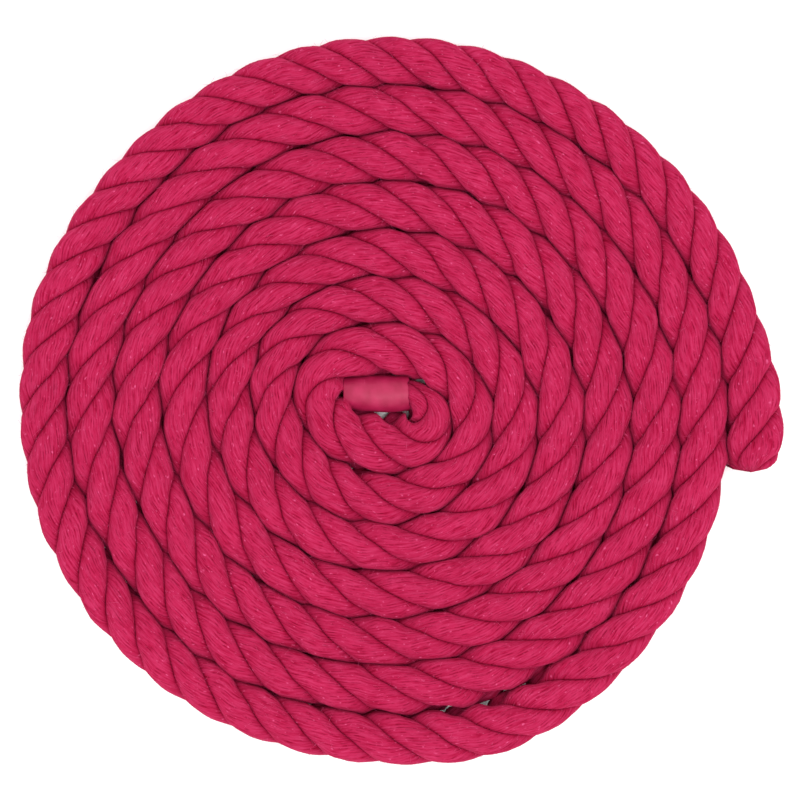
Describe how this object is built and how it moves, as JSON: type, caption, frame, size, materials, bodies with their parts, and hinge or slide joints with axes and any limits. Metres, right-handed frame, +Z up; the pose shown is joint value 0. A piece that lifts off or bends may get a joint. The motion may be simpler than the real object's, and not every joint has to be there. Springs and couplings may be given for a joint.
{
  "type": "lead rope",
  "caption": "Bare twisted cotton lead rope, laid from separate strands and put away as a flat spiral coil, taped at its inner end, for leading or tying a horse.",
  "frame": {"origin": "on the surface that the coil rests on, under the middle of the coil's outline", "axes": "+Z up out of the flat coil, +X towards the side where the outer end lies, and -Y the way the outer end points; seen from above the rope runs clockwise from its inner end to its outer end"},
  "size_m": [0.2448, 0.2352, 0.0148],
  "materials": {
    "cotton_strand": "matt dyed cotton yarn, raspberry red",
    "end_tape": "smooth translucent tape with a soft sheen, paler than the rope"
  },
  "bodies": {
    "root": {"strand_1": "cotton_strand", "strand_2": "cotton_strand", "strand_3": "cotton_strand", "inner_end_tape": "end_tape"}
  },
  "joints": []
}
